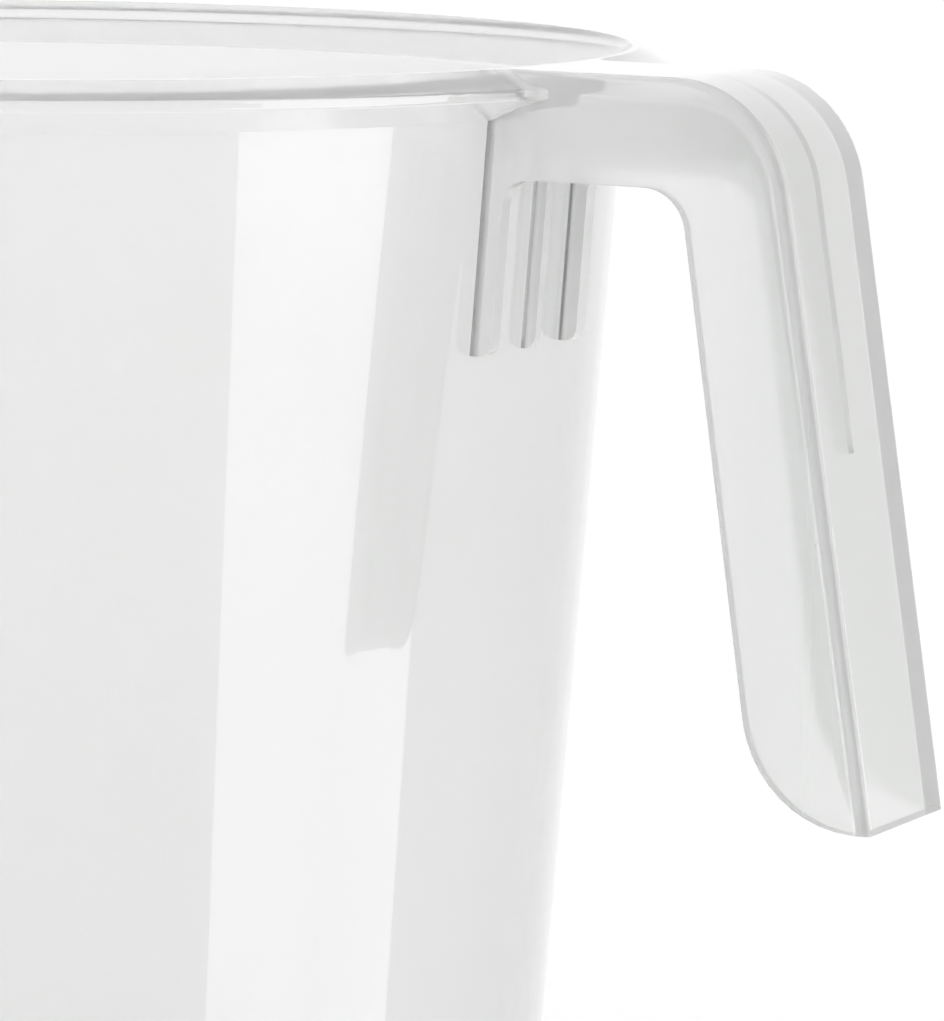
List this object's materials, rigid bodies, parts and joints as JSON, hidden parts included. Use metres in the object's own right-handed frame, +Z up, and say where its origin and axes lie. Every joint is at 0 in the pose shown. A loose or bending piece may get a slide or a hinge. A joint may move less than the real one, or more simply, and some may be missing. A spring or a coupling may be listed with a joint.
{
  "type": "measuring jug",
  "caption": "Tapered translucent plastic measuring jug with a flared collar, a pouring spout, a raised scale and an open-ended channel handle.",
  "frame": {"origin": "centre of the vessel's flat underside, on the vessel's own upright axis", "axes": "+Z up along the vessel's axis, +X towards the handle, -X towards the spout"},
  "size_m": [0.212, 0.1574, 0.165],
  "materials": {
    "polypropylene": "glossy injection-moulded natural polypropylene, milky and translucent"
  },
  "bodies": {
    "root": {"jug": "polypropylene"}
  },
  "joints": []
}
